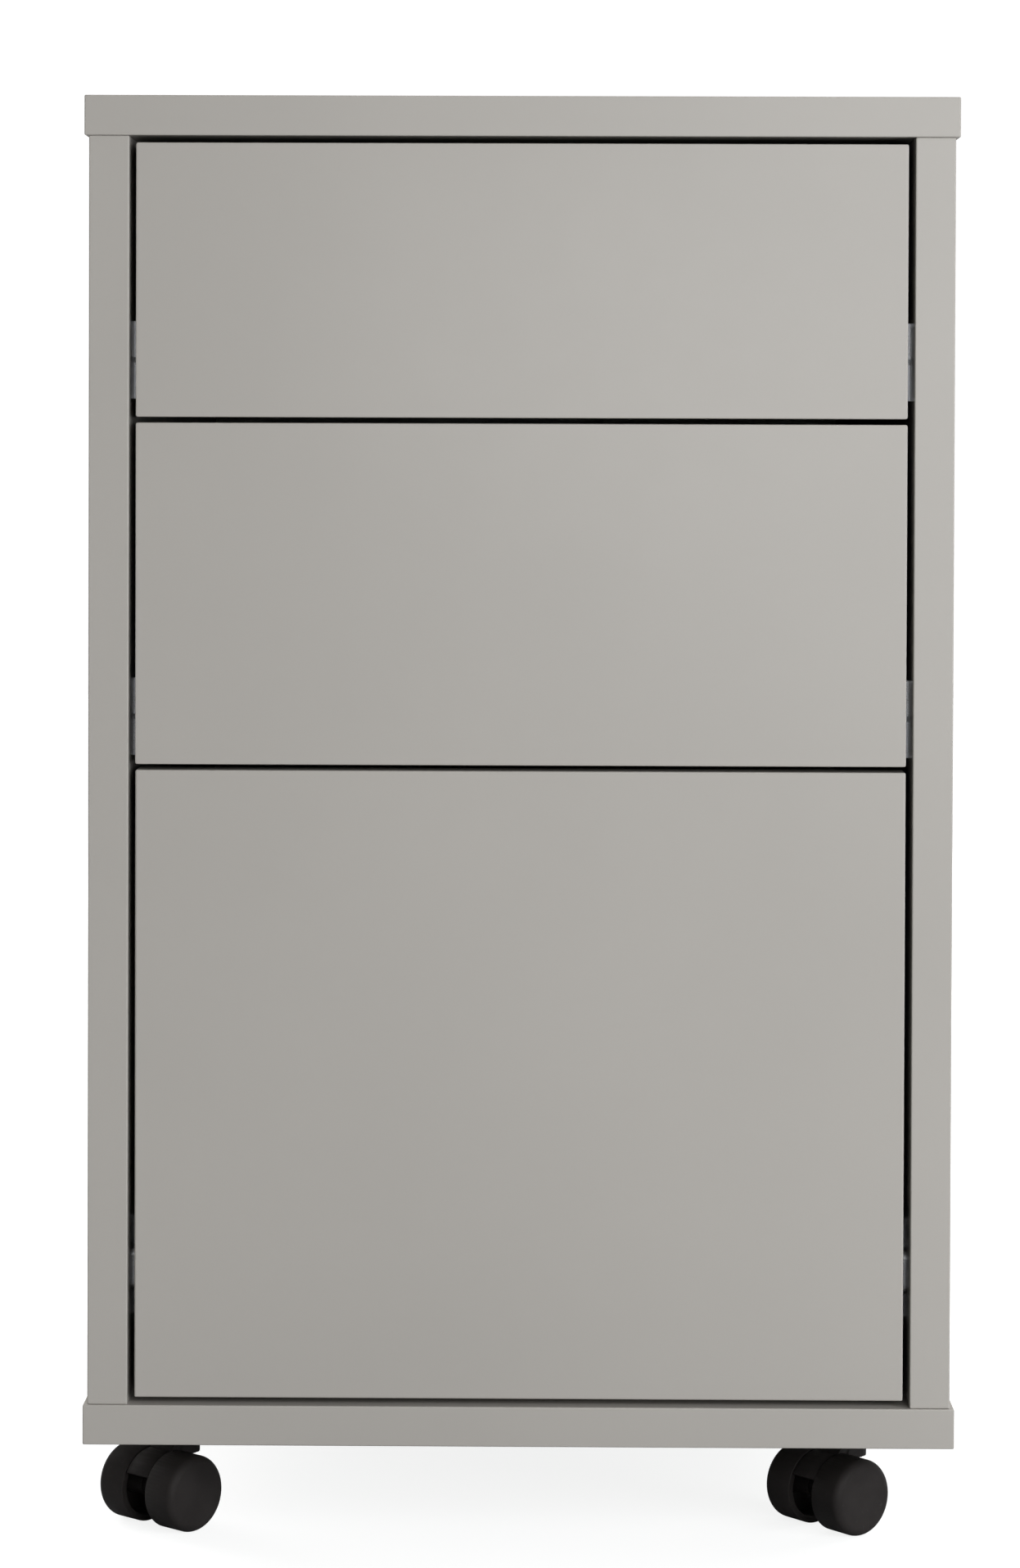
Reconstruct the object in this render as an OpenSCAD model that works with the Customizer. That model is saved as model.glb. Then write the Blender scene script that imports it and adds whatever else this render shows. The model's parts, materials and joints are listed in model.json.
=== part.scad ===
// Rolling pedestal cabinet: a laminated carcass on four twin-wheel casters, with three
// handle-less drawers on ball-bearing slides, each with a push-to-open latch behind it.
// The origin is the middle of the footprint, on the floor. +X is right, +Y is back, +Z is up.
// All sizes are in millimetres.

/* [Carcass] */
// Width of the top and bottom panels
cabinet_w = 392; // [386:1:420]
// Depth of the top and bottom panels
cabinet_d = 500; // [490:1:560]
// Thickness of the laminated boards
board_t = 18; // [18:0.5:20]
// How far the top and bottom panels stand out past each side panel
side_overhang = 2; // [0:0.5:4]
// How far they stand out past the side panels' front and back edges
end_overhang = 1; // [0:0.5:3]

/* [Drawer fronts] */
// Height of the upper front
upper_front_h = 123; // [118:0.5:140]
// Height of the middle front
middle_front_h = 153.5; // [148:0.5:180]
// Height of the lower front
lower_front_h = 283; // [270:1:310]
// Gap between the fronts and the side and top panels
edge_gap = 3; // [2:0.5:4]
// Gap between the lower front and the bottom panel
bottom_gap = 3; // [2:0.5:5]
// Gap between one front and the next
front_gap = 2.5; // [2:0.5:4]
// How far the fronts lie behind the side panels' front edges
front_recess = 1.5; // [1:0.5:3]

/* [Drawer boxes] */
// Height of the upper box
upper_box_h = 90; // [80:1:95]
// Height of the middle box
middle_box_h = 115; // [90:1:125]
// Height of the lower box
lower_box_h = 220; // [120:1:245]
// Thickness of the box boards
box_board_t = 12; // [12:0.5:14]
// Thickness of the hardboard bases
base_t = 3; // [3:0.5:4]

/* [Slides] */
// Length of every slide, and of every drawer box
slide_l = 400; // [380:1:402]
// Height of the upper and middle cabinet rails
small_rail_h = 35; // [35:0.5:37]
// Height of the lower cabinet rails
large_rail_h = 45; // [45:0.5:47]

/* [Casters] */
// Height from the floor to the underside of the bottom panel
caster_h = 50.5; // [50:0.5:56]
// Diameter of the wheels
wheel_d = 35; // [35:0.5:38]
// Width of one wheel
wheel_w = 17; // [14:0.5:17]
// How far the axle trails behind the stem
caster_trail = 16; // [14:0.5:16]
// Direction of the left casters' axles, turned from the cabinet's width
left_caster_yaw = -41; // [-180:1:180]
// Direction of the right casters' axles
right_caster_yaw = -50; // [-180:1:180]
// Stem's distance from the cabinet's middle, to the side
stem_x = 155.5; // [145:0.5:156]
// Stem's distance in from the front and back edges
stem_inset = 69; // [50:1:70]

/* [Hidden] */
$fn = 48;

laminate = [0.69, 0.68, 0.66];
box_board = [0.80, 0.79, 0.77];
hardboard = [0.86, 0.85, 0.83];
zinc = [0.78, 0.79, 0.80];
bright_steel = [0.66, 0.67, 0.69];
beech = [0.80, 0.66, 0.48];
brass = [0.76, 0.64, 0.36];
black_nylon = [0.10, 0.10, 0.10];
grey_plastic = [0.55, 0.55, 0.56];

// A drawer is 0 for the upper, 1 for the middle and 2 for the lower one
front_h = [upper_front_h, middle_front_h, lower_front_h];
box_h = [upper_box_h, middle_box_h, lower_box_h];

// Clearance of glued and seated joints, and radial clearance of running fits
seat_gap = 0.1;
run_gap = 0.05;

// Carcass
carcass_w = cabinet_w - 2 * side_overhang;
inner_w = carcass_w - 2 * board_t;
wall_x = -inner_w / 2;
side_d = cabinet_d - 2 * end_overhang;
fronts_h = upper_front_h + middle_front_h + lower_front_h + 2 * front_gap;
opening_h = edge_gap + fronts_h + bottom_gap;
side_z = caster_h + board_t;
top_z = side_z + opening_h;
back_y = side_d / 2 - board_t;

// Fronts and boxes
front_w = inner_w - 2 * edge_gap;
front_y = -side_d / 2 + front_recess;
box_y = front_y + board_t;
front_z = [
    side_z + bottom_gap + lower_front_h + middle_front_h + 2 * front_gap,
    side_z + bottom_gap + lower_front_h + front_gap,
    side_z + bottom_gap
];
slide_w = 12.5;
box_w = inner_w - 2 * slide_w;
box_lift = 4;
box_end = box_y + slide_l;
housing_depth = 6;
groove_depth = 5;
base_up = 10;
back_inset = 8;
back_drop = 8;

// Slides: distances across a slide are measured from the carcass wall towards the drawer
steel_t = 1.2;
cage_t = 0.8;
lip = 1.5;
ball_r = 2;
rail_y = box_y + 4.5;
rail_l = slide_l - 4.5;
// Height of each slide's middle above its front's lower edge
rail_up = [26, 20, 53.5];
small_drawer_h = small_rail_h - 2 * steel_t - 4 * ball_r;
large_middle_h = large_rail_h - 2 * steel_t - 4 * ball_r;
large_drawer_h = large_middle_h - 2 * steel_t - 4 * ball_r;
small_cage_l = 92;
large_cage_l = 140;
ball_pitch = 14;
nose_l = 12;
nose_h = 21.5;
notch_h = 2.5;
notch_l = 6;
// Screws' places along a slide, from its front end
screw_along = [36, 164, 324];

// Screws
screw_head_r = 3.5;
screw_r = 1.75;
screw_gap = 0.06;
cabinet_screw_l = 15;
drawer_screw_l = 10;
flush = 0.05;

// Corner joints
fitting_y = [-190, 190];
dowel_y = [-150, 150];
back_dowel_z = [side_z + 100, top_z - 100];
cam_r = 7.5;
cam_depth = 12.5;
cam_setback = 24;
bolt_in = 8;
bolt_head_r = 3.5;
bolt_thread_r = 2.5;
bolt_thread_l = 11;
dowel_r = 4;
dowel_half = 14;

// Latches
latch_up = 55;
plunger_r = 4;
plunger_tip_gap = 0.5;
plunger_reach = 11;
plunger_l = 56;
latch_r = 8;
// Width, thickness and height of a latch's foot
latch_foot = [40, 5, 18];
latch_screw_x = 14;
latch_front_y = box_end - back_inset + plunger_tip_gap + plunger_reach;

// Casters
wheel_r = wheel_d / 2;
stem_y = cabinet_d / 2 - stem_inset;
hood_half = 7.1;
wheel_in = 7.5;
wheel_edge_r = 3.8;
axle_r = 2.5;
axle_half = 18;
stem_r = 4;
stem_pin_bottom = 33.5;
boss_r = 6.6;
boss_bottom = 31;
hood_top = caster_h - 1.4;
insert_r = 6;
insert_l = 14;
fender_r = wheel_r - 0.4;
fender_t = 2.4;
fender_low_angle = 27;
front_left = [-1, -1];
front_right = [1, -1];
rear_left = [-1, 1];
rear_right = [1, 1];

// ---- Placement helpers ----

module both_sides() {
    children();
    mirror([1, 0, 0]) children();
}

// A flat outline drawn as [across, up], run along Y from y_from
module along_y(y_from, length) {
    translate([0, y_from + length, 0]) rotate([90, 0, 0]) linear_extrude(length) children();
}

// A flat outline drawn as [back, up], given a thickness along +X
module along_x(thickness) {
    rotate([90, 0, 90]) linear_extrude(thickness) children();
}

// Draws what belongs to the top corners at the bottom corners too
module top_and_bottom() {
    children();
    translate([0, 0, side_z + top_z]) mirror([0, 0, 1]) children();
}

// Puts a shape drawn around a stem, with its axle along X, at one caster
module at_caster(corner) {
    yaw = corner[0] < 0 ? left_caster_yaw : right_caster_yaw;
    translate([corner[0] * stem_x, corner[1] * stem_y, 0]) rotate(yaw) children();
}

// Puts a shape drawn around an axle, with the axle along Z, at one caster's axle
module at_axle(corner) {
    at_caster(corner) translate([0, -caster_trail, wheel_r]) rotate([0, 90, 0]) children();
}

// ---- Screws, drawn with the head's flat top at z = 0 and the point downwards ----

module screw(length) {
    cone_h = screw_head_r - screw_r;
    tip_h = 2;
    difference() {
        union() {
            translate([0, 0, -cone_h]) cylinder(h = cone_h, r1 = screw_r, r2 = screw_head_r);
            translate([0, 0, tip_h - length]) cylinder(h = length - tip_h - cone_h, r = screw_r);
            translate([0, 0, -length]) cylinder(h = tip_h, r1 = 0.4, r2 = screw_r);
        }
        cross_recess(3.8, 0.9, 1.1);
    }
}

// Two crossed slots for a driver, cut down from z = 0
module cross_recess(length, width, depth) {
    for (turn = [0, 90]) {
        rotate(turn) translate([-length / 2, -width / 2, -depth]) cube([length, width, depth + 1]);
    }
}

module screw_hole(length) {
    cone_h = screw_head_r - screw_r;
    rise = 0.5;
    translate([0, 0, -cone_h]) {
        cylinder(h = cone_h + rise, r1 = screw_r + screw_gap, r2 = screw_head_r + screw_gap + rise);
    }
    translate([0, 0, -length - rise]) {
        cylinder(h = length + rise - cone_h / 2, r = screw_r + screw_gap);
    }
}

// Every place on the left wall where a screw holds a cabinet rail of drawer k
module at_cabinet_screws(k) {
    for (along = screw_along) {
        translate([wall_x + steel_t - flush, rail_y + along, front_z[k] + rail_up[k]])
            rotate([0, 90, 0]) children();
    }
}

// Every place on the left side of box k where a screw holds a drawer rail
module at_drawer_screws(k) {
    for (along = screw_along) {
        translate([-box_w / 2 - steel_t + flush, rail_y + along, front_z[k] + rail_up[k]])
            rotate([0, -90, 0]) children();
    }
}

// ---- Corner joints of the carcass ----

// The places of the top corners' cam fittings on the left, at the side panel's edge
module at_fittings() {
    for (y = fitting_y) translate([wall_x - bolt_in, y, top_z]) children();
}

module at_edge_dowels() {
    for (y = dowel_y) translate([wall_x - board_t / 2, y, top_z]) children();
}

module at_back_dowels() {
    for (z = back_dowel_z) translate([wall_x, back_y + board_t / 2, z]) rotate([0, 90, 0]) children();
}

module cam_bore() {
    translate([bolt_in - cam_depth - seat_gap, 0, -cam_setback]) rotate([0, 90, 0])
        cylinder(h = cam_depth + seat_gap + 1, r = cam_r + seat_gap);
}

module bolt_bore() {
    translate([0, 0, -cam_setback]) cylinder(h = cam_setback, r = bolt_head_r + 0.6);
    translate([0, 0, -1]) cylinder(h = bolt_thread_l + 1.5, r = bolt_thread_r + seat_gap);
}

module dowel_bore() {
    translate([0, 0, -dowel_half - 0.5]) {
        cylinder(h = 2 * dowel_half + 1, r = dowel_r + seat_gap / 2);
    }
}

module joint_bores() {
    both_sides() {
        top_and_bottom() {
            at_fittings() {
                cam_bore();
                bolt_bore();
            }
            at_edge_dowels() dowel_bore();
        }
        at_back_dowels() dowel_bore();
    }
}

// ---- Carcass boards ----

module side_panel() {
    color(laminate) difference() {
        translate([-carcass_w / 2, -side_d / 2, side_z]) cube([board_t, side_d, opening_h]);
        joint_bores();
        for (k = [0:2]) at_cabinet_screws(k) screw_hole(cabinet_screw_l);
    }
}

module left_side_panel() {
    side_panel();
}

module right_side_panel() {
    mirror([1, 0, 0]) side_panel();
}

module top_panel() {
    color(laminate) difference() {
        translate([-cabinet_w / 2, -cabinet_d / 2, top_z]) cube([cabinet_w, cabinet_d, board_t]);
        joint_bores();
    }
}

module insert_bore() {
    translate([0, 0, caster_h - 1]) cylinder(h = insert_l + 1.5, r = insert_r + seat_gap);
}

module bottom_panel() {
    color(laminate) difference() {
        translate([-cabinet_w / 2, -cabinet_d / 2, caster_h]) cube([cabinet_w, cabinet_d, board_t]);
        joint_bores();
        for (corner = [front_left, front_right, rear_left, rear_right]) at_caster(corner) insert_bore();
    }
}

module back_panel() {
    color(laminate) difference() {
        translate([wall_x, back_y, side_z]) cube([inner_w, board_t, opening_h]);
        both_sides() at_back_dowels() dowel_bore();
        for (k = [0:2]) at_latch_screws(k) screw_hole(cabinet_screw_l);
    }
}

// ---- Carcass fasteners ----

module dowel() {
    translate([0, 0, -dowel_half]) cylinder(h = 2 * dowel_half, r = dowel_r);
}

module wood_dowels() {
    color(beech) both_sides() {
        top_and_bottom() at_edge_dowels() dowel();
        at_back_dowels() dowel();
    }
}

// A threaded end in the outer board, a collar at the joint, and a headed pin down to the cam
module cam_bolt() {
    neck_r = 1.8;
    head_h = 3;
    pin_end = 20;
    cylinder(h = bolt_thread_l, r = bolt_thread_r);
    translate([0, 0, -1.5]) cylinder(h = 1.5, r = bolt_head_r);
    translate([0, 0, head_h - pin_end]) cylinder(h = pin_end - head_h, r = neck_r + 0.8);
    translate([0, 0, -pin_end - head_h]) cylinder(h = 2 * head_h, r = neck_r);
    translate([0, 0, -pin_end - 2 * head_h]) cylinder(h = head_h, r = bolt_head_r);
}

module cam_bolts() {
    color(zinc) both_sides() top_and_bottom() at_fittings() cam_bolt();
}

// A round cam, slotted for the bolt's head, with a cross slot for the driver in its face
module cam_lock() {
    slot_w = 2 * bolt_head_r + 0.6;
    face_t = 3;
    translate([bolt_in, 0, -cam_setback]) rotate([0, -90, 0]) difference() {
        cylinder(h = cam_depth, r = cam_r);
        translate([-slot_w / 2, -slot_w / 2, face_t]) cube([cam_r + slot_w, slot_w, cam_depth]);
        mirror([0, 0, 1]) cross_recess(7, 1.4, 1.5);
    }
}

module cam_locks() {
    color(zinc) both_sides() top_and_bottom() at_fittings() cam_lock();
}

module cabinet_screws() {
    color(zinc) {
        for (k = [0:2]) both_sides() at_cabinet_screws(k) screw(cabinet_screw_l);
        for (k = [0:2]) at_latch_screws(k) screw(cabinet_screw_l);
    }
}

// ---- Slides ----

// A rolled channel with its web on the carcass wall and its flanges turned towards the drawer
module channel(height, reach, lip_h) {
    translate([0, -height / 2]) square([steel_t, height]);
    for (up = [0, 1]) mirror([0, up]) {
        translate([0, height / 2 - steel_t]) square([reach, steel_t]);
        if (lip_h > 0) {
            translate([reach - steel_t, height / 2 - steel_t - lip_h]) square([steel_t, lip_h + steel_t]);
        }
    }
}

// Draws an outline at the slide of drawer k, on the left wall
module on_left_slide(k, y_from, length) {
    translate([wall_x, 0, front_z[k] + rail_up[k]]) along_y(y_from, length) children();
}

module small_cabinet_rail(k) {
    difference() {
        on_left_slide(k, rail_y, rail_l) channel(small_rail_h, 9.5, lip);
        translate([wall_x - 1, rail_y - 1, front_z[k] + rail_up[k] - notch_h / 2]) {
            cube([steel_t + 2, notch_l + 1, notch_h]);
        }
        at_cabinet_screws(k) screw_hole(cabinet_screw_l);
    }
}

// The lower rail's web runs forward of its flanges as a round-cornered nose
module large_cabinet_rail(k) {
    nose_corner = 5;
    difference() {
        union() {
            on_left_slide(k, rail_y + nose_l, rail_l - nose_l) channel(large_rail_h, 9.8, lip);
            translate([wall_x, rail_y, front_z[k] + rail_up[k]]) along_x(steel_t) {
                translate([nose_corner, -nose_h / 2]) square([nose_l + 2 - nose_corner, nose_h]);
                translate([0, nose_corner - nose_h / 2]) square([nose_l, nose_h - 2 * nose_corner]);
                for (up = [-1, 1]) {
                    translate([nose_corner, up * (nose_h / 2 - nose_corner)]) circle(nose_corner);
                }
            }
        }
        at_cabinet_screws(k) screw_hole(cabinet_screw_l);
    }
}

module upper_cabinet_rails() {
    color(zinc) both_sides() small_cabinet_rail(0);
}

module middle_cabinet_rails() {
    color(zinc) both_sides() small_cabinet_rail(1);
}

module lower_cabinet_rails() {
    color(zinc) both_sides() large_cabinet_rail(2);
}

// A drawer rail's web lies on the box, and its flanges turn back towards the carcass wall
module drawer_rails(k, height, reach) {
    color(zinc) both_sides() difference() {
        on_left_slide(k, rail_y, rail_l) translate([slide_w, 0]) mirror([1, 0]) channel(height, reach, 0);
        at_drawer_screws(k) screw_hole(drawer_screw_l);
    }
}

module upper_drawer_rails() {
    drawer_rails(0, small_drawer_h, 9.1);
}

module middle_drawer_rails() {
    drawer_rails(1, small_drawer_h, 9.1);
}

module lower_drawer_rails() {
    drawer_rails(2, large_drawer_h, 6.9);
}

module lower_middle_rails() {
    web_at = 2.8;
    color(zinc) both_sides() {
        on_left_slide(2, rail_y, rail_l) translate([web_at, 0]) channel(large_middle_h, 6.8, 0);
    }
}

// A thin U strip with a row of round windows above and below, one for each ball.
// web_at and reach are measured from the carcass wall, and row_z up from the slide's middle.
module ball_cages(k, web_at, web_t, reach, row_z, ball_at, length) {
    cage_y = rail_y + (rail_l - length) / 2;
    ball_count = floor((length - 8) / ball_pitch);
    first_ball = cage_y + (length - (ball_count - 1) * ball_pitch) / 2;
    color(bright_steel) both_sides() difference() {
        on_left_slide(k, cage_y, length) {
            translate([web_at, -row_z - cage_t / 2]) square([web_t, 2 * row_z + cage_t]);
            for (up = [0, 1]) mirror([0, up]) {
                translate([web_at, row_z - cage_t / 2]) square([reach - web_at, cage_t]);
            }
        }
        for (i = [0:ball_count - 1]) {
            translate([wall_x + ball_at, first_ball + i * ball_pitch, front_z[k] + rail_up[k] - row_z - 1]) {
                cylinder(h = 2 * row_z + 2, r = ball_r + run_gap);
            }
        }
    }
}

small_row_z = small_rail_h / 2 - steel_t - ball_r;
large_outer_row_z = large_rail_h / 2 - steel_t - ball_r;
large_inner_row_z = large_middle_h / 2 - steel_t - ball_r;

module upper_ball_cages() {
    ball_cages(0, 2, 0.8, 8, small_row_z, 5.3, small_cage_l);
}

module middle_ball_cages() {
    ball_cages(1, 2, 0.8, 8, small_row_z, 5.3, small_cage_l);
}

module lower_outer_ball_cages() {
    ball_cages(2, 1.7, 0.6, 8.2, large_outer_row_z, 5.6, large_cage_l);
}

module lower_inner_ball_cages() {
    ball_cages(2, 4.5, 0.6, 10.5, large_inner_row_z, 7.9, large_cage_l);
}

// ---- Drawers ----

module base_groove(k) {
    groove_w = box_w - 2 * box_board_t + 2 * groove_depth;
    translate([-groove_w / 2, box_y - groove_depth, front_z[k] + box_lift + base_up]) {
        cube([groove_w, slide_l + groove_depth + 1, base_t + 2 * seat_gap]);
    }
}

module drawer_front(k) {
    housing_w = box_board_t + 2 * seat_gap;
    color(laminate) difference() {
        translate([-front_w / 2, front_y, front_z[k]]) cube([front_w, board_t, front_h[k]]);
        both_sides() {
            translate([-box_w / 2 - seat_gap, box_y - housing_depth, front_z[k] + box_lift - seat_gap]) {
                cube([housing_w, housing_depth + 1, box_h[k] + 2 * seat_gap]);
            }
        }
        base_groove(k);
    }
}

// The sides run from the housings in the front to the end of the box
module drawer_side(k) {
    start_y = box_y - housing_depth + seat_gap;
    dado_w = box_board_t + 2 * seat_gap;
    color(box_board) difference() {
        translate([-box_w / 2, start_y, front_z[k] + box_lift]) {
            cube([box_board_t, box_end - start_y, box_h[k]]);
        }
        base_groove(k);
        translate([
            -box_w / 2 + box_board_t - groove_depth,
            box_end - back_inset - box_board_t - seat_gap,
            front_z[k] + box_lift + base_up
        ]) cube([groove_depth + 1, dado_w, box_h[k]]);
        at_drawer_screws(k) screw_hole(drawer_screw_l);
    }
}

module drawer_back(k) {
    back_w = box_w - 2 * box_board_t + 2 * groove_depth - 2 * seat_gap;
    foot_z = base_up + base_t + 3 * seat_gap;
    color(box_board) {
        translate([-back_w / 2, box_end - back_inset - box_board_t, front_z[k] + box_lift + foot_z]) {
            cube([back_w, box_board_t, box_h[k] - foot_z - back_drop]);
        }
    }
}

module drawer_base(k) {
    base_w = box_w - 2 * box_board_t + 2 * groove_depth - 2 * seat_gap;
    start_y = box_y - groove_depth + seat_gap;
    color(hardboard) {
        translate([-base_w / 2, start_y, front_z[k] + box_lift + base_up + seat_gap]) {
            cube([base_w, box_end - back_inset - start_y, base_t]);
        }
    }
}

module drawer_screws(k) {
    color(zinc) both_sides() at_drawer_screws(k) screw(drawer_screw_l);
}

module upper_drawer_front() {
    drawer_front(0);
}

module upper_drawer_left_side() {
    drawer_side(0);
}

module upper_drawer_right_side() {
    mirror([1, 0, 0]) drawer_side(0);
}

module upper_drawer_back() {
    drawer_back(0);
}

module upper_drawer_base() {
    drawer_base(0);
}

module upper_drawer_screws() {
    drawer_screws(0);
}

module middle_drawer_front() {
    drawer_front(1);
}

module middle_drawer_left_side() {
    drawer_side(1);
}

module middle_drawer_right_side() {
    mirror([1, 0, 0]) drawer_side(1);
}

module middle_drawer_back() {
    drawer_back(1);
}

module middle_drawer_base() {
    drawer_base(1);
}

module middle_drawer_screws() {
    drawer_screws(1);
}

module lower_drawer_front() {
    drawer_front(2);
}

module lower_drawer_left_side() {
    drawer_side(2);
}

module lower_drawer_right_side() {
    mirror([1, 0, 0]) drawer_side(2);
}

module lower_drawer_back() {
    drawer_back(2);
}

module lower_drawer_base() {
    drawer_base(2);
}

module lower_drawer_screws() {
    drawer_screws(2);
}

// ---- Push-to-open latches ----

// Draws around the latch axis of drawer k, with z running forwards from the back panel
module at_latch(k) {
    translate([0, back_y, front_z[k] + box_lift + latch_up]) rotate([90, 0, 0]) children();
}

module at_latch_screws(k) {
    for (side = [-1, 1]) {
        at_latch(k) translate([side * latch_screw_x, 0, latch_foot[1] - flush]) children();
    }
}

module latch_housing(k) {
    barrel_l = back_y - latch_front_y;
    difference() {
        union() {
            at_latch(k) cylinder(h = barrel_l, r = latch_r);
            at_latch(k) translate([-latch_foot[0] / 2, -latch_foot[2] / 2, 0]) {
                cube([latch_foot[0], latch_foot[2], latch_foot[1]]);
            }
        }
        at_latch(k) translate([0, 0, 3]) cylinder(h = barrel_l, r = plunger_r + run_gap);
        at_latch_screws(k) screw_hole(cabinet_screw_l);
    }
}

module latch_housings() {
    color(grey_plastic) for (k = [0:2]) latch_housing(k);
}

module latch_plunger(k) {
    pad_r = 5;
    pad_t = 3;
    color(grey_plastic) at_latch(k) translate([0, 0, back_y - latch_front_y + plunger_reach]) {
        translate([0, 0, -plunger_l]) cylinder(h = plunger_l, r = plunger_r);
        translate([0, 0, -pad_t]) cylinder(h = pad_t, r = pad_r);
    }
}

module upper_latch_plunger() {
    latch_plunger(0);
}

module middle_latch_plunger() {
    latch_plunger(1);
}

module lower_latch_plunger() {
    latch_plunger(2);
}

// ---- Casters ----

module threaded_insert() {
    difference() {
        translate([0, 0, caster_h]) cylinder(h = insert_l, r = insert_r);
        translate([0, 0, caster_h - 1]) cylinder(h = insert_l + 2, r = stem_r + seat_gap / 2);
    }
}

module threaded_inserts() {
    color(brass) {
        for (corner = [front_left, front_right, rear_left, rear_right]) at_caster(corner) threaded_insert();
    }
}

// A pin in the hood's bore, a hexagonal collar under the panel, and a threaded end above it
module caster_stem() {
    collar_t = 1.1;
    collar_r = 7.5;
    thread_l = 13;
    translate([0, 0, stem_pin_bottom]) cylinder(h = caster_h + thread_l - stem_pin_bottom, r = stem_r);
    translate([0, 0, caster_h - collar_t]) cylinder(h = collar_t, r = collar_r, $fn = 6);
}

module caster_stems() {
    color(zinc) {
        for (corner = [front_left, front_right, rear_left, rear_right]) at_caster(corner) caster_stem();
    }
}

// Outline of the hood between the wheels, as [back, up] from the axle's middle: a fender over
// the trailing half, which runs up into a shoulder that joins it to the stem's boss
module hood_outline() {
    shoulder_low = boss_bottom - wheel_r;
    shoulder_top = hood_top - wheel_r - 3;
    shoulder_end = caster_trail - 0.8 * boss_r;
    reach = 2 * wheel_r;
    difference() {
        union() {
            intersection() {
                circle(fender_r);
                polygon([
                    [0, 0],
                    [-reach * cos(fender_low_angle), reach * sin(fender_low_angle)],
                    [-reach, reach],
                    [caster_trail, reach],
                    [caster_trail, shoulder_low]
                ]);
            }
            polygon([
                [-1, fender_r - 1],
                [shoulder_end, shoulder_top],
                [caster_trail, shoulder_top],
                [caster_trail, shoulder_low],
                [fender_r / 2, shoulder_low]
            ]);
        }
        circle(fender_r - fender_t);
    }
}

// A thin wall in the hood's middle that carries the axle's boss
module web_outline() {
    intersection() {
        circle(fender_r - fender_t / 2);
        polygon([
            [0, 1],
            [-2 * wheel_r * cos(fender_low_angle), 1 + 2 * wheel_r * sin(fender_low_angle)],
            [-wheel_r, 2 * wheel_r],
            [caster_trail - 1, 2 * wheel_r],
            [caster_trail - 1, 1]
        ]);
    }
}

module caster_hood(corner) {
    web_half = 1.6;
    axle_boss_r = 5;
    color(black_nylon) difference() {
        union() {
            at_caster(corner) translate([-hood_half, -caster_trail, wheel_r]) {
                along_x(2 * hood_half) hood_outline();
            }
            at_caster(corner) translate([-web_half, -caster_trail, wheel_r]) {
                along_x(2 * web_half) web_outline();
            }
            at_axle(corner) translate([0, 0, -hood_half]) cylinder(h = 2 * hood_half, r = axle_boss_r);
            at_caster(corner) translate([0, 0, boss_bottom]) {
                cylinder(h = hood_top - boss_bottom, r = boss_r);
            }
        }
        at_axle(corner) translate([0, 0, -2 * hood_half]) {
            cylinder(h = 4 * hood_half, r = axle_r + seat_gap / 2);
        }
        at_caster(corner) translate([0, 0, stem_pin_bottom - 0.5]) {
            cylinder(h = caster_h, r = stem_r + run_gap);
        }
    }
}

module caster_axle(corner) {
    color(bright_steel) {
        at_axle(corner) translate([0, 0, -axle_half]) cylinder(h = 2 * axle_half, r = axle_r);
    }
}

// Half of the wheel's section, as [radius, distance out along the axle]: a solid disc with a
// rounded outer edge, a hub, and a hollow inner side behind the tread
module wheel_section() {
    rim_t = 3;
    face_t = 4;
    hub_r = 5.5;
    edge_z = wheel_in + wheel_w - wheel_edge_r;
    difference() {
        union() {
            translate([0, wheel_in]) square([wheel_r, wheel_w - wheel_edge_r]);
            translate([0, wheel_in]) square([wheel_r - wheel_edge_r, wheel_w]);
            translate([wheel_r - wheel_edge_r, edge_z]) circle(wheel_edge_r);
        }
        translate([hub_r, wheel_in - 1]) square([wheel_r - rim_t - hub_r, wheel_w - face_t + 1]);
        translate([-1, wheel_in - 1]) square([axle_r + run_gap + 1, axle_half - wheel_in + 1.4]);
        translate([-1, 0]) square([1, 3 * wheel_r]);
    }
}

// side is 1 for wheel a, on the axle's +X end before the caster is turned, and -1 for wheel b
module caster_wheel(corner, side) {
    color(black_nylon) at_axle(corner) mirror([0, 0, side < 0 ? 1 : 0]) rotate_extrude() wheel_section();
}

module front_left_hood() {
    caster_hood(front_left);
}

module front_left_axle() {
    caster_axle(front_left);
}

module front_left_wheel_a() {
    caster_wheel(front_left, 1);
}

module front_left_wheel_b() {
    caster_wheel(front_left, -1);
}

module front_right_hood() {
    caster_hood(front_right);
}

module front_right_axle() {
    caster_axle(front_right);
}

module front_right_wheel_a() {
    caster_wheel(front_right, 1);
}

module front_right_wheel_b() {
    caster_wheel(front_right, -1);
}

module rear_left_hood() {
    caster_hood(rear_left);
}

module rear_left_axle() {
    caster_axle(rear_left);
}

module rear_left_wheel_a() {
    caster_wheel(rear_left, 1);
}

module rear_left_wheel_b() {
    caster_wheel(rear_left, -1);
}

module rear_right_hood() {
    caster_hood(rear_right);
}

module rear_right_axle() {
    caster_axle(rear_right);
}

module rear_right_wheel_a() {
    caster_wheel(rear_right, 1);
}

module rear_right_wheel_b() {
    caster_wheel(rear_right, -1);
}

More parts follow.
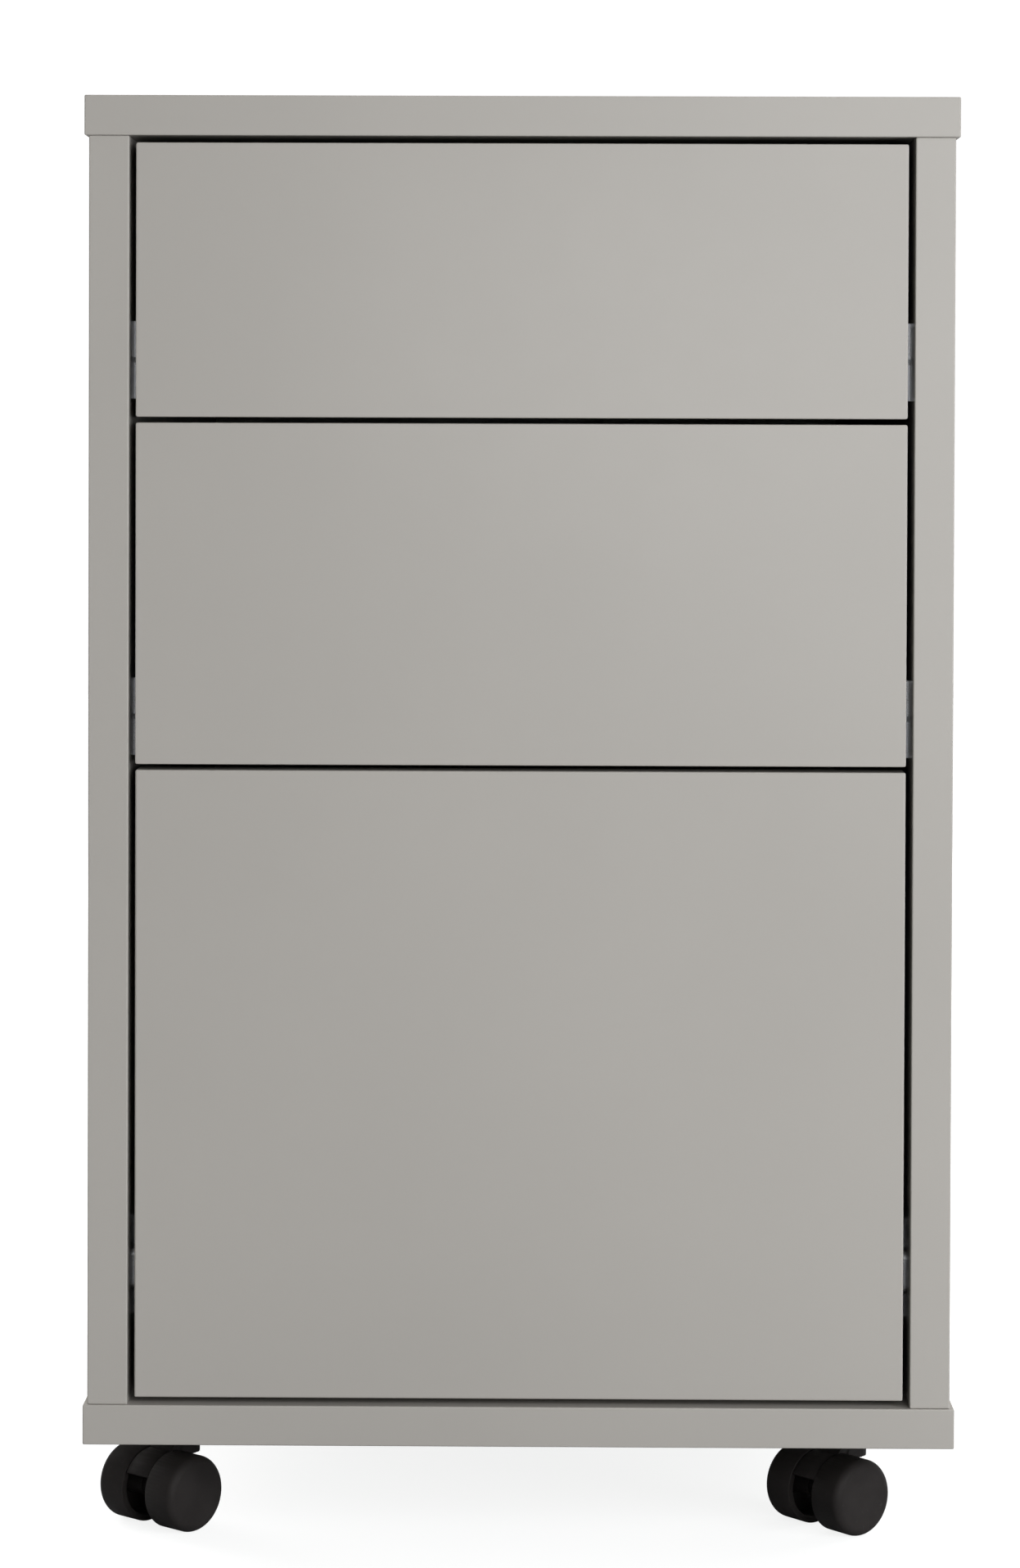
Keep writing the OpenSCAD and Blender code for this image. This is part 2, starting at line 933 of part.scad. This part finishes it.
top_panel();
bottom_panel();
left_side_panel();
right_side_panel();
back_panel();
wood_dowels();
cam_bolts();
cam_locks();
threaded_inserts();
caster_stems();
upper_cabinet_rails();
middle_cabinet_rails();
lower_cabinet_rails();
cabinet_screws();
latch_housings();
front_left_hood();
front_left_axle();
front_left_wheel_a();
front_left_wheel_b();
front_right_hood();
front_right_axle();
front_right_wheel_a();
front_right_wheel_b();
rear_left_hood();
rear_left_axle();
rear_left_wheel_a();
rear_left_wheel_b();
rear_right_hood();
rear_right_axle();
rear_right_wheel_a();
rear_right_wheel_b();
upper_drawer_front();
upper_drawer_left_side();
upper_drawer_right_side();
upper_drawer_back();
upper_drawer_base();
upper_drawer_rails();
upper_drawer_screws();
middle_drawer_front();
middle_drawer_left_side();
middle_drawer_right_side();
middle_drawer_back();
middle_drawer_base();
middle_drawer_rails();
middle_drawer_screws();
lower_drawer_front();
lower_drawer_left_side();
lower_drawer_right_side();
lower_drawer_back();
lower_drawer_base();
lower_drawer_rails();
lower_drawer_screws();
upper_ball_cages();
middle_ball_cages();
lower_outer_ball_cages();
lower_inner_ball_cages();
lower_middle_rails();
upper_latch_plunger();
middle_latch_plunger();
lower_latch_plunger();
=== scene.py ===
"""Looks of the rolling pedestal cabinet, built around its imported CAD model.

Every length is in metres, in the CAD model's own frame: +X right, +Y back, +Z up, floor at z = 0.
"""

import json
import math

import bmesh
import bpy
from mathutils import Matrix, Vector


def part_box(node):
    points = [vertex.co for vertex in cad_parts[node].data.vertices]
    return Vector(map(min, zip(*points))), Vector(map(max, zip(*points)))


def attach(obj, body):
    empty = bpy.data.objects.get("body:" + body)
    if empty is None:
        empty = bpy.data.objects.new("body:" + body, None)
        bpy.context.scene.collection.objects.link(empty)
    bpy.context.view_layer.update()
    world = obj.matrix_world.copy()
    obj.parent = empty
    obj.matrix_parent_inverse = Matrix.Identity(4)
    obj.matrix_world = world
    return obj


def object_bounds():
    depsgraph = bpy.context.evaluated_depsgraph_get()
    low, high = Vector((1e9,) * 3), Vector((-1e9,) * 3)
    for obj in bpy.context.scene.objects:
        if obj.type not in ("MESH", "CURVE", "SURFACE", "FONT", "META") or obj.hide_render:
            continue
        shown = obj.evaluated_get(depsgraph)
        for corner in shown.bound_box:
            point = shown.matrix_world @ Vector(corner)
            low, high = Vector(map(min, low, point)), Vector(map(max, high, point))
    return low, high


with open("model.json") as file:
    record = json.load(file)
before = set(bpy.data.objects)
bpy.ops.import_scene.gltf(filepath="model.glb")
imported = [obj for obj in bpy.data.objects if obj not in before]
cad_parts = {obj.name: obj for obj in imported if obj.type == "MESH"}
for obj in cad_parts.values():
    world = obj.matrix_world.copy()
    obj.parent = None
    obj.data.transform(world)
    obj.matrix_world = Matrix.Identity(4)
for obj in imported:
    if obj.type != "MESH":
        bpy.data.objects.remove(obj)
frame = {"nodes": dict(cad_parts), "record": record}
cad_low, cad_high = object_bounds()
nodes = frame["nodes"]
scene = bpy.context.scene

MM = 0.001


# ---- Building shaders ----


class Shader:
    """One material's node tree, ending in a Principled BSDF."""

    def __init__(self, name, **fixed):
        """fixed holds what is the same all over the surface, by the BSDF socket's name with _ for a space."""
        self.material = bpy.data.materials.new(name)
        self.material.use_nodes = True
        self.tree = self.material.node_tree
        self.tree.nodes.clear()
        output = self.tree.nodes.new("ShaderNodeOutputMaterial")
        self.bsdf = self.add("BsdfPrincipled", **fixed)
        self.tree.links.new(self.bsdf.outputs["BSDF"], output.inputs["Surface"])
        self.place = self.add("TexCoord").outputs["Object"]
        self.normal = None

    def add(self, kind, settings=None, **inputs):
        """A node, with its settings, and its inputs given as values or as sockets to link from."""
        made = self.tree.nodes.new("ShaderNode" + kind)
        for name, value in (settings or {}).items():
            setattr(made, name, value)
        for name, value in inputs.items():
            self.set(made.inputs[name.replace("_", " ")], value)
        return made

    def set(self, socket, value):
        if isinstance(value, bpy.types.NodeSocket):
            self.tree.links.new(value, socket)
        else:
            socket.default_value = value

    def stretched(self, scale):
        """Object coordinates scaled by three numbers, for a pattern that runs along one axis."""
        mapping = self.add("Mapping", {"vector_type": "POINT"}, Vector=self.place)
        mapping.inputs["Scale"].default_value = scale
        return mapping.outputs["Vector"]

    def noise(self, scale, detail=2.0, roughness=0.5, vector=None):
        return self.add(
            "TexNoise",
            Vector=vector or self.place,
            Scale=scale,
            Detail=detail,
            Roughness=roughness,
        ).outputs["Fac"]

    def remap(self, value, low, high, to_low, to_high, smooth=False):
        """value, from low to high, brought to the range to_low to to_high."""
        made = self.add("MapRange", {"interpolation_type": "SMOOTHSTEP" if smooth else "LINEAR"}, Value=value)
        for name, number in (
            ("From Min", low),
            ("From Max", high),
            ("To Min", to_low),
            ("To Max", to_high),
        ):
            made.inputs[name].default_value = number
        return made.outputs["Result"]

    def math(self, operation, a, b):
        made = self.add("Math", {"operation": operation})
        self.set(made.inputs[0], a)
        self.set(made.inputs[1], b)
        return made.outputs["Value"]

    def mix(self, factor, a, b, blend="MIX"):
        """Two colours, each a colour or a socket, mixed by a number or a socket."""
        made = self.add("Mix", {"data_type": "RGBA", "blend_type": blend})
        factor_in, a_in, b_in = made.inputs[0], made.inputs[6], made.inputs[7]
        self.set(factor_in, factor)
        self.set(a_in, a)
        self.set(b_in, b)
        return made.outputs[2]

    def bump(self, height, depth, strength=1.0):
        """Raises the surface by up to depth where height is 1. Later bumps lie on top of earlier ones."""
        made = self.add("Bump", Height=height, Distance=depth, Strength=strength)
        if self.normal:
            self.set(made.inputs["Normal"], self.normal)
        self.normal = made.outputs["Normal"]
        self.set(self.bsdf.inputs["Normal"], self.normal)

    def colour(self, value):
        self.set(self.bsdf.inputs["Base Color"], value)

    def roughness(self, value):
        self.set(self.bsdf.inputs["Roughness"], value)


def tone(rgb, factor):
    """An opaque colour, lighter or darker than rgb by factor."""
    return (rgb[0] * factor, rgb[1] * factor, rgb[2] * factor, 1.0)


# ---- Materials, one for each slot of the record ----


def melamine(name, rgb, gloss, speckle):
    """Printed paper under a clear resin: even, satin, with a faint pearl of the press plate."""
    s = Shader(name, IOR=1.5)
    cloud = s.noise(6, 3)
    grain = s.noise(1700, 2, 0.6)
    body = s.mix(s.remap(cloud, 0.35, 0.65, 0, 1), tone(rgb, 0.985), tone(rgb, 1.015))
    s.colour(s.mix(s.remap(grain, 0.55, 0.75, 0, speckle), body, tone(rgb, 0.80)))
    s.roughness(s.math("ADD", s.remap(s.noise(45, 4, 0.6), 0.3, 0.7, gloss - 0.02, gloss + 0.03),
                       s.remap(grain, 0.3, 0.7, -0.01, 0.02)))
    s.bump(s.noise(900, 2, 0.5), 0.010 * MM, 0.5)
    s.bump(s.noise(12, 1), 0.05 * MM, 0.35)
    return s.material


def faced_hardboard(name, rgb):
    """A thin painted face over pressed fibres, which show through as fine long specks."""
    s = Shader(name, IOR=1.48)
    fibres = s.noise(420, 4, 0.7, s.stretched((1.0, 0.25, 1.0)))
    s.colour(s.mix(s.remap(fibres, 0.45, 0.7, 0, 0.6), tone(rgb, 1.02), tone(rgb, 0.90)))
    s.roughness(s.remap(s.noise(160, 3), 0.3, 0.7, 0.42, 0.55))
    s.bump(fibres, 0.02 * MM, 0.5)
    return s.material


def turned_beech(name, rgb):
    """Raw beech, with its grain along the dowel and short dark rays."""
    s = Shader(name, IOR=1.45)
    rings = s.noise(300, 3, 0.6, s.stretched((1.0, 1.0, 0.08)))
    rays = s.noise(1500, 2, 0.5, s.stretched((1.0, 1.0, 0.12)))
    grain = s.mix(s.remap(rings, 0.35, 0.65, 0, 1), tone(rgb, 0.86), tone(rgb, 1.08))
    s.colour(s.mix(s.remap(rays, 0.60, 0.72, 0, 0.7), grain, tone(rgb, 0.55)))
    s.roughness(s.remap(rings, 0.3, 0.7, 0.52, 0.68))
    s.bump(rings, 0.05 * MM, 0.6)
    return s.material


def plated_steel(name, rgb, gloss, metal):
    """Rolled strip: fine draw lines along the rail, and plating that varies a little in gloss.

    A metal below 1 is the milky look of passivated zinc.
    """
    s = Shader(name, Metallic=metal)
    lines = s.noise(2600, 3, 0.6, s.stretched((1.0, 0.012, 1.0)))
    patches = s.noise(55, 3, 0.55)
    bluish = (rgb[0] * 0.99, rgb[1], rgb[2] * 1.03, 1.0)
    plating = s.mix(s.remap(patches, 0.35, 0.65, 0, 1), tone(rgb, 0.96), bluish)
    s.colour(s.mix(s.remap(lines, 0.45, 0.75, 0, 0.4), plating, tone(rgb, 0.85)))
    s.roughness(s.math("ADD", s.remap(patches, 0.3, 0.7, gloss - 0.02, gloss + 0.03),
                       s.remap(lines, 0.3, 0.7, -0.03, 0.04)))
    s.bump(lines, 0.0015 * MM, 0.6)
    return s.material


def turned_brass(name, rgb):
    """Turned brass, with fine tool rings round each insert's upright axis."""
    s = Shader(name, Metallic=1.0)
    rings = s.noise(2500, 2, 0.5, s.stretched((0.05, 0.05, 1.0)))
    s.colour(s.mix(s.remap(s.noise(240, 3), 0.35, 0.7, 0, 1), tone(rgb, 1.0), tone(rgb, 0.72)))
    s.roughness(s.remap(rings, 0.3, 0.7, 0.22, 0.36))
    s.bump(rings, 0.01 * MM, 0.6)
    return s.material


DUST = (0.16, 0.15, 0.14, 1.0)


def moulded(name, rgb, gloss, sheen, texture_mm, dust):
    """Moulded plastic with a spark-eroded texture, a little flow marking, and dust as thick as dust says."""
    s = Shader(name, IOR=1.53, Specular_IOR_Level=sheen)
    texture = s.noise(1.0 / (texture_mm * MM), 3, 0.6)
    flow = s.noise(60, 3, 0.6)
    body = s.mix(s.remap(flow, 0.35, 0.65, 0, 1), tone(rgb, 0.88), tone(rgb, 1.12))
    s.colour(s.mix(s.remap(s.noise(500, 4, 0.7), 0.62, 0.80, 0, dust), body, DUST))
    s.roughness(s.math("ADD", s.remap(flow, 0.3, 0.7, gloss - 0.03, gloss + 0.04),
                       s.remap(texture, 0.3, 0.7, -0.03, 0.04)))
    s.bump(texture, 0.018 * MM, 0.7)
    return s.material


WARM_GREY = (0.427, 0.405, 0.375)

finishes = {
    "laminate": melamine("laminate_warm_grey", WARM_GREY, 0.22, 0.10),
    "box_board": melamine("box_board_light_grey", (0.60, 0.59, 0.57), 0.36, 0.14),
    "hardboard": faced_hardboard("hardboard_light_grey", (0.64, 0.63, 0.61)),
    "beech": turned_beech("raw_beech", (0.62, 0.43, 0.25)),
    "zinc": plated_steel("zinc_plate", (0.78, 0.79, 0.81), 0.28, 0.8),
    "bright_steel": plated_steel("cold_rolled_steel", (0.62, 0.62, 0.63), 0.22, 0.9),
    "brass": turned_brass("turned_brass", (0.78, 0.58, 0.27)),
    "black_nylon": moulded("black_nylon_hood", (0.0235, 0.0210, 0.0205), 0.42, 0.14, 0.35, 0.10),
    "wheel_nylon": moulded("black_nylon_wheel", (0.0245, 0.0217, 0.0210), 0.42, 0.14, 0.30, 0.16),
    "grey_plastic": moulded("grey_acetal", (0.32, 0.32, 0.33), 0.34, 0.50, 0.50, 0.0),
}

for part in frame["record"]["subparts"]:
    slots = nodes[part["node"]].data.materials
    for i in range(len(slots)):
        slots[i] = finishes[part["material_slot"]]


# ---- Softened arrises on the CAD nodes ----

BOARD_ARRIS = 0.6 * MM
FRONT_ARRIS = 0.8 * MM
MOULDED_ARRIS = 0.4 * MM
SHARPEST_LEFT = math.radians(40)
SAME_POINT = 0.002 * MM


def soften(node, radius, segments=2):
    """Rounds a node's sharp edges inwards, so that they catch the light as real ones do."""
    o = nodes[node]
    weld = o.modifiers.new("weld", "WELD")
    weld.merge_threshold = SAME_POINT
    bevel = o.modifiers.new("arris", "BEVEL")
    bevel.width = radius
    bevel.segments = segments
    bevel.limit_method = "ANGLE"
    bevel.angle_limit = SHARPEST_LEFT
    bevel.use_clamp_overlap = False
    bevel.harden_normals = True


for node in ("top_panel", "bottom_panel", "left_side_panel", "right_side_panel", "back_panel"):
    soften(node, BOARD_ARRIS)
for drawer in ("upper", "middle", "lower"):
    soften(drawer + "_drawer_front", FRONT_ARRIS, segments=3)
for corner in ("front_left", "front_right", "rear_left", "rear_right"):
    for moulding in ("_hood", "_wheel_a", "_wheel_b"):
        soften(corner + moulding, MOULDED_ARRIS)


# ---- Steel balls in the slides' cages ----

BALL_R = 1.95 * MM
BALL_PITCH = 14 * MM
CAGE_ENDS = 8 * MM  # the length of a cage that has no windows, both its ends together


def ball_rows(name, node, body, off_wall, row_up):
    """Fills the windows of a pair of cages.

    Each cage has a row of balls above it and a row below it, row_up from its middle, and their
    centres are off_wall from the side panel that the slide is on.
    """
    low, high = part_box(node)
    wall_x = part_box("left_side_panel")[1].x
    length = high.y - low.y
    count = int((length - CAGE_ENDS) // BALL_PITCH)
    first = low.y + (length - (count - 1) * BALL_PITCH) / 2
    middle = (low.z + high.z) / 2
    mesh = bmesh.new()
    for side in (-1, 1):
        for up in (-1, 1):
            for i in range(count):
                at = Vector((side * (off_wall - wall_x), first + i * BALL_PITCH, middle + up * row_up))
                bmesh.ops.create_icosphere(mesh, subdivisions=2, radius=BALL_R, matrix=Matrix.Translation(at))
    for face in mesh.faces:
        face.smooth = True
    data = bpy.data.meshes.new(name)
    mesh.to_mesh(data)
    mesh.free()
    piece = bpy.data.objects.new(name, data)
    scene.collection.objects.link(piece)
    data.materials.append(finishes["bright_steel"])
    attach(piece, body)


SINGLE = {"off_wall": 5.3 * MM, "row_up": 14.3 * MM}
FULL_OUTER = {"off_wall": 5.6 * MM, "row_up": 19.3 * MM}
FULL_INNER = {"off_wall": 7.9 * MM, "row_up": 14.1 * MM}
ball_rows("upper_slide_balls", "upper_ball_cages", "upper_cages", **SINGLE)
ball_rows("middle_slide_balls", "middle_ball_cages", "middle_cages", **SINGLE)
ball_rows("lower_outer_slide_balls", "lower_outer_ball_cages", "lower_outer_cages", **FULL_OUTER)
ball_rows("lower_inner_slide_balls", "lower_inner_ball_cages", "lower_inner_cages", **FULL_INNER)


# ---- Floor, light and camera ----


def pale_floor(size):
    """A white floor with a glow that only the camera sees: dimmer near the middle, which is a painted pale
    shadow round the cabinet, and brighter far out, where it melts into the backdrop.
    """
    mesh = bpy.data.meshes.new("floor")
    half = size / 2
    corners = [(-half, -half, 0), (half, -half, 0), (half, half, 0), (-half, half, 0)]
    mesh.from_pydata(corners, [], [(0, 1, 2, 3)])
    floor = bpy.data.objects.new("floor", mesh)
    scene.collection.objects.link(floor)
    s = Shader("pale_floor", Roughness=0.9, Specular_IOR_Level=0.0)
    s.bsdf.inputs["Base Color"].default_value = (0.30, 0.30, 0.30, 1)
    s.bsdf.inputs["Emission Color"].default_value = (0.995, 1.0, 0.997, 1)
    from_middle = s.add("VectorMath", {"operation": "LENGTH"}, Vector=s.place).outputs["Value"]
    # Painted shade: the camera-only glow is dimmed near the middle, which paints the pale shadow round the
    # cabinet instead of leaving it to the lamps.
    near, far = 0.8, 2.6
    glow_with_painted_shadow = s.remap(from_middle, near, far, 0.85, 1.05, smooth=True)
    seen = s.add("LightPath").outputs["Is Camera Ray"]
    s.set(s.bsdf.inputs["Emission Strength"], s.math("MULTIPLY", seen, glow_with_painted_shadow))
    mesh.materials.append(s.material)


def surroundings(light, seen):
    """A plain white room: light is its brightness on the object, and seen its brightness behind it."""
    world = bpy.data.worlds.new("white_room")
    scene.world = world
    world.use_nodes = True
    tree = world.node_tree
    tree.nodes.clear()
    lit, backdrop = (tree.nodes.new("ShaderNodeBackground") for _ in range(2))
    lit.inputs["Color"].default_value = (1.0, 0.99, 0.975, 1)
    lit.inputs["Strength"].default_value = light
    backdrop.inputs["Color"].default_value = (1, 1, 1, 1)
    backdrop.inputs["Strength"].default_value = seen
    path = tree.nodes.new("ShaderNodeLightPath")
    choose = tree.nodes.new("ShaderNodeMixShader")
    output = tree.nodes.new("ShaderNodeOutputWorld")
    tree.links.new(path.outputs["Is Camera Ray"], choose.inputs["Fac"])
    tree.links.new(lit.outputs["Background"], choose.inputs[1])
    tree.links.new(backdrop.outputs["Background"], choose.inputs[2])
    tree.links.new(choose.outputs["Shader"], output.inputs["Surface"])


def softbox(name, at, towards, size, watts, colour=(1, 1, 1), mirrored=True):
    """A soft rectangular light. One that isn't mirrored gives no glare on the laminate."""
    light = bpy.data.lights.new(name, "AREA")
    light.shape = "RECTANGLE"
    light.size, light.size_y = size
    light.energy = watts
    light.color = colour
    lamp = bpy.data.objects.new(name, light)
    scene.collection.objects.link(lamp)
    lamp.location = at
    lamp.rotation_euler = (Vector(towards) - Vector(at)).to_track_quat("-Z", "Y").to_euler()
    lamp.visible_glossy = mirrored


def camera(at, yaw, pitch, roll, lens, shift_y):
    """Looks along +Y, turned to the right by yaw, tipped down by pitch and leant by roll, in radians."""
    data = bpy.data.cameras.new("camera")
    data.lens = lens
    data.sensor_width = 36
    data.shift_y = shift_y
    data.clip_end = 50
    eye = bpy.data.objects.new("camera", data)
    scene.collection.objects.link(eye)
    turned = Matrix.Rotation(-yaw, 4, "Z")
    tipped = Matrix.Rotation(math.pi / 2 - pitch, 4, "X")
    leant = Matrix.Rotation(roll, 4, "Z")
    eye.matrix_world = Matrix.Translation(at) @ turned @ tipped @ leant
    scene.camera = eye


pale_floor(12.0)
surroundings(light=0.24, seen=1.05)
DAYLIGHT = (0.93, 0.965, 1.0)
front = (0.0, cad_low.y, 0.35)
softbox("key_front", (0.9, -2.4, 1.0), front, (1.2, 1.2), 21.2, mirrored=False)
softbox("key_right", (1.6, -1.4, 0.6), front, (0.8, 1.0), 22.8, DAYLIGHT, mirrored=False)
softbox("strip_right", (0.75, -2.3, 1.1), (0.75, -0.25, 1.1), (1.3, 1.9), 4.8, DAYLIGHT)
# A weak light beside the lens, which the ends of the slides mirror out of the side gaps.
softbox("beside_lens", (0.05, -2.6, 0.60), front, (0.45, 0.45), 0.8)
softbox("overhead", (0.0, 0.7, 2.3), (0.0, 0.1, 0.6), (1.6, 1.2), 40, mirrored=False)
softbox("fill_left", (-2.0, 1.6, 1.1), (-0.2, 0.1, 0.35), (1.4, 1.4), 60, mirrored=False)
softbox("fill_right", (2.0, 1.4, 1.1), (0.2, 0.1, 0.35), (1.4, 1.4), 30, mirrored=False)
softbox("fill_back", (0.6, 2.6, 1.2), (0.0, 0.25, 0.35), (1.8, 1.6), 36, mirrored=False)
camera((0.010, -2.05, 0.500), yaw=-0.0083, pitch=0.0175, roll=0.0034, lens=92.32, shift_y=-0.17)

scene.view_settings.view_transform = "Standard"
scene.view_settings.look = "None"
scene.view_settings.exposure = 0.0
scene.view_settings.gamma = 1.0
